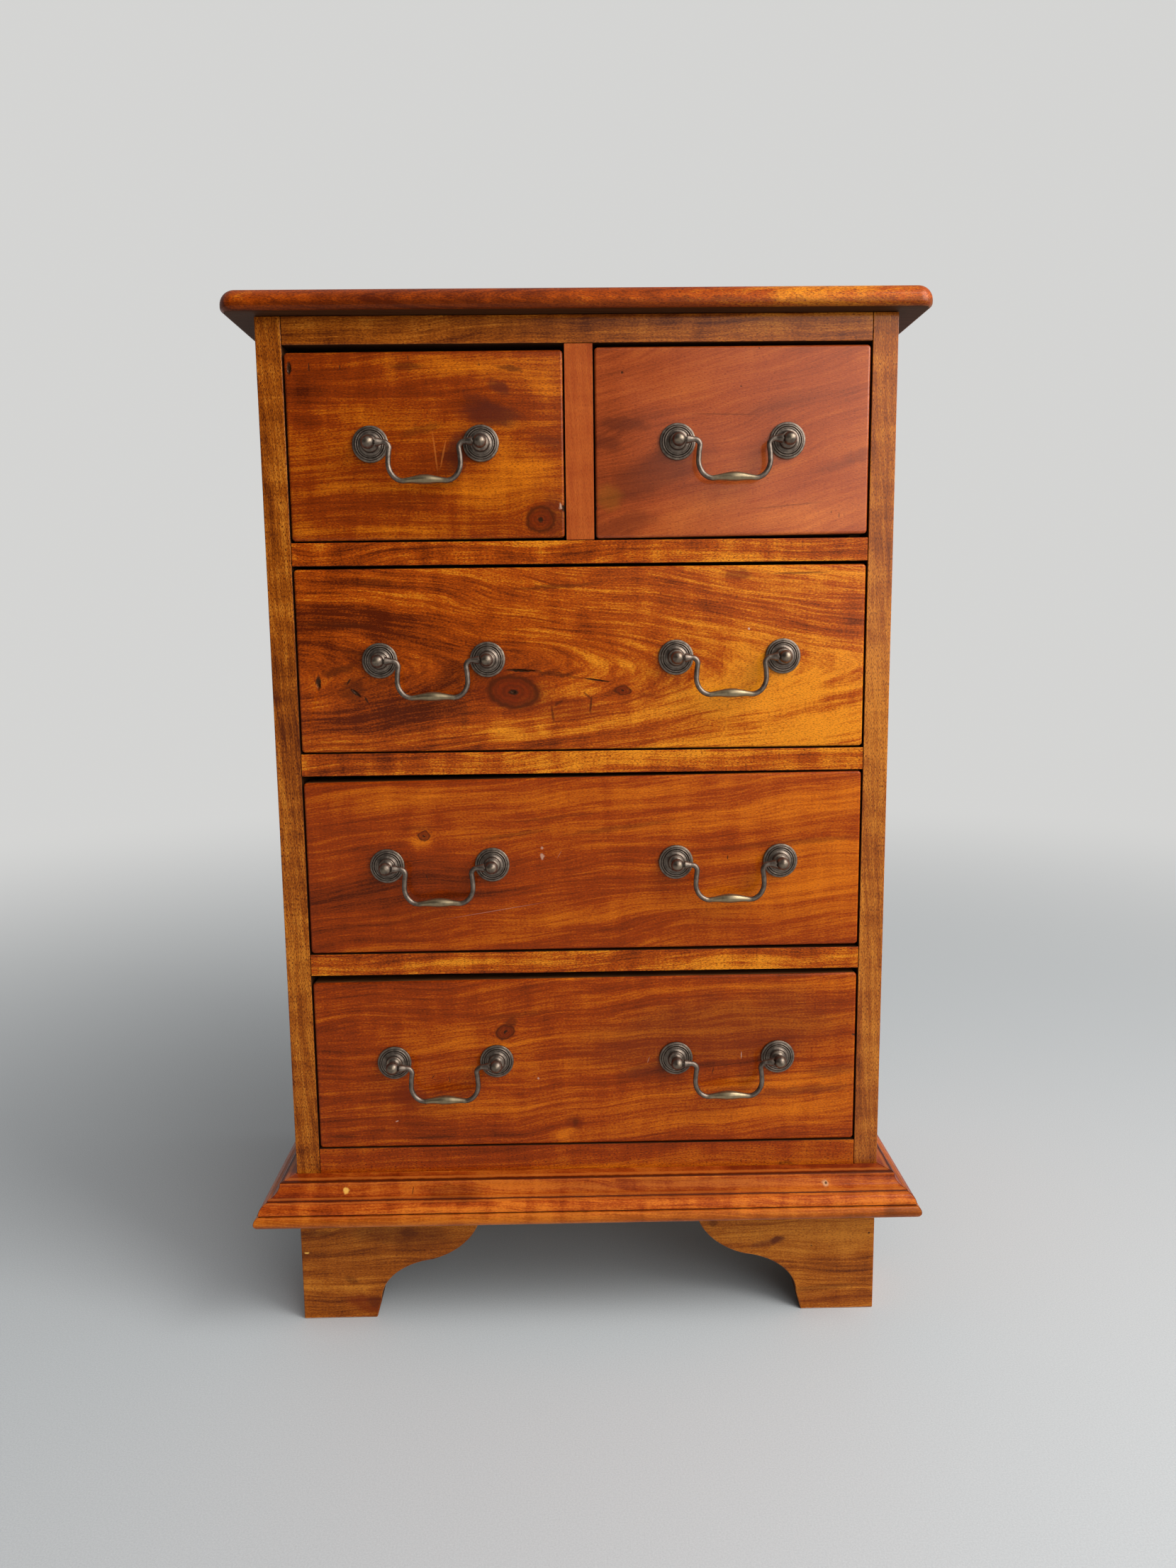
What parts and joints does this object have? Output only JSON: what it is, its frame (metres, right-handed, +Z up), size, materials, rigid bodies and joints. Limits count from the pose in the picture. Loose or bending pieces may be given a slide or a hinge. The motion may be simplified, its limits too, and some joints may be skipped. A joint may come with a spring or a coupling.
{
  "type": "chest of drawers",
  "caption": "Small mahogany chest with two short drawers over long drawers, swan-neck brass handles, moulded base and bracket feet; the drawers slide out and the bails lift.",
  "frame": {"origin": "on the floor, at the middle of the whole object seen from above: x = 0 is the middle of the carcass, y = 0 is halfway between the front of the base moulding and the back", "axes": "+Z up, -Y the side the drawers face, +X to the right of someone facing the drawers"},
  "size_m": [0.495, 0.3574, 0.753],
  "materials": {
    "top_wood": "polished mahogany, satin gloss",
    "side_wood": "polished mahogany, satin gloss, upright grain",
    "rail_wood": "polished mahogany, satin gloss",
    "moulding_wood": "polished mahogany, darker in the quirks and rubbed on the edges",
    "foot_wood": "polished mahogany, slightly duller",
    "secondary_wood": "plain unpolished softwood, oil stained",
    "front_wood": "polished figured mahogany, glossy",
    "drawer_lining": "plain wood, waxed",
    "aged_brass": "aged dark brass, rubbed bright on the grips"
  },
  "bodies": {
    "carcass": {"top_board": "top_wood", "left_side_panel": "side_wood", "right_side_panel": "side_wood", "top_rail": "rail_wood", "upper_rail": "rail_wood", "middle_rail": "rail_wood", "lower_rail": "rail_wood", "bottom_rail": "rail_wood", "drawer_divider": "rail_wood", "base_moulding_front": "moulding_wood", "base_moulding_left": "moulding_wood", "base_moulding_right": "moulding_wood", "front_left_foot": "foot_wood", "front_right_foot": "foot_wood", "back_left_foot": "foot_wood", "back_right_foot": "foot_wood", "back_panel": "secondary_wood", "upper_dust_board": "secondary_wood", "middle_dust_board": "secondary_wood", "lower_dust_board": "secondary_wood", "bottom_board": "secondary_wood"},
    "top_left_drawer": {"top_left_drawer_front": "front_wood", "top_left_drawer_box": "drawer_lining", "top_left_drawer_bottom": "drawer_lining", "top_left_drawer_post_1": "aged_brass", "top_left_drawer_post_2": "aged_brass"},
    "top_right_drawer": {"top_right_drawer_front": "front_wood", "top_right_drawer_box": "drawer_lining", "top_right_drawer_bottom": "drawer_lining", "top_right_drawer_post_1": "aged_brass", "top_right_drawer_post_2": "aged_brass"},
    "upper_drawer": {"upper_drawer_front": "front_wood", "upper_drawer_box": "drawer_lining", "upper_drawer_bottom": "drawer_lining", "upper_drawer_post_1": "aged_brass", "upper_drawer_post_2": "aged_brass", "upper_drawer_post_3": "aged_brass", "upper_drawer_post_4": "aged_brass"},
    "middle_drawer": {"middle_drawer_front": "front_wood", "middle_drawer_box": "drawer_lining", "middle_drawer_bottom": "drawer_lining", "middle_drawer_post_1": "aged_brass", "middle_drawer_post_2": "aged_brass", "middle_drawer_post_3": "aged_brass", "middle_drawer_post_4": "aged_brass"},
    "bottom_drawer": {"bottom_drawer_front": "front_wood", "bottom_drawer_box": "drawer_lining", "bottom_drawer_bottom": "drawer_lining", "bottom_drawer_post_1": "aged_brass", "bottom_drawer_post_2": "aged_brass", "bottom_drawer_post_3": "aged_brass", "bottom_drawer_post_4": "aged_brass"},
    "top_left_handle": {"top_left_drawer_bail": "aged_brass"},
    "top_right_handle": {"top_right_drawer_bail": "aged_brass"},
    "upper_left_handle": {"upper_drawer_left_bail": "aged_brass"},
    "upper_right_handle": {"upper_drawer_right_bail": "aged_brass"},
    "middle_left_handle": {"middle_drawer_left_bail": "aged_brass"},
    "middle_right_handle": {"middle_drawer_right_bail": "aged_brass"},
    "bottom_left_handle": {"bottom_drawer_left_bail": "aged_brass"},
    "bottom_right_handle": {"bottom_drawer_right_bail": "aged_brass"}
  },
  "joints": [
    {"name": "top_left_drawer_slide", "type": "slide", "parent": "carcass", "child": "top_left_drawer", "axis": [0, -1, 0], "range_m": [0, 0.24]},
    {"name": "top_right_drawer_slide", "type": "slide", "parent": "carcass", "child": "top_right_drawer", "axis": [0, -1, 0], "range_m": [0, 0.24]},
    {"name": "upper_drawer_slide", "type": "slide", "parent": "carcass", "child": "upper_drawer", "axis": [0, -1, 0], "range_m": [0, 0.24]},
    {"name": "middle_drawer_slide", "type": "slide", "parent": "carcass", "child": "middle_drawer", "axis": [0, -1, 0], "range_m": [0, 0.24]},
    {"name": "bottom_drawer_slide", "type": "slide", "parent": "carcass", "child": "bottom_drawer", "axis": [0, -1, 0], "range_m": [0, 0.24]},
    {"name": "top_left_handle_lift", "type": "hinge", "parent": "top_left_drawer", "child": "top_left_handle", "pos_m": [-0.10612, -0.16325, 0.65275], "axis": [-1, 0, 0], "range_deg": [-18, 195]},
    {"name": "top_right_handle_lift", "type": "hinge", "parent": "top_right_drawer", "child": "top_right_handle", "pos_m": [0.10612, -0.16325, 0.65275], "axis": [-1, 0, 0], "range_deg": [-18, 195]},
    {"name": "upper_left_handle_lift", "type": "hinge", "parent": "upper_drawer", "child": "upper_left_handle", "pos_m": [-0.105, -0.16325, 0.50425], "axis": [-1, 0, 0], "range_deg": [-18, 195]},
    {"name": "upper_right_handle_lift", "type": "hinge", "parent": "upper_drawer", "child": "upper_right_handle", "pos_m": [0.105, -0.16325, 0.50425], "axis": [-1, 0, 0], "range_deg": [-18, 195]},
    {"name": "middle_left_handle_lift", "type": "hinge", "parent": "middle_drawer", "child": "middle_left_handle", "pos_m": [-0.105, -0.16325, 0.35575], "axis": [-1, 0, 0], "range_deg": [-18, 195]},
    {"name": "middle_right_handle_lift", "type": "hinge", "parent": "middle_drawer", "child": "middle_right_handle", "pos_m": [0.105, -0.16325, 0.35575], "axis": [-1, 0, 0], "range_deg": [-18, 195]},
    {"name": "bottom_left_handle_lift", "type": "hinge", "parent": "bottom_drawer", "child": "bottom_left_handle", "pos_m": [-0.105, -0.16325, 0.206], "axis": [-1, 0, 0], "range_deg": [-18, 195]},
    {"name": "bottom_right_handle_lift", "type": "hinge", "parent": "bottom_drawer", "child": "bottom_right_handle", "pos_m": [0.105, -0.16325, 0.206], "axis": [-1, 0, 0], "range_deg": [-18, 195]}
  ]
}
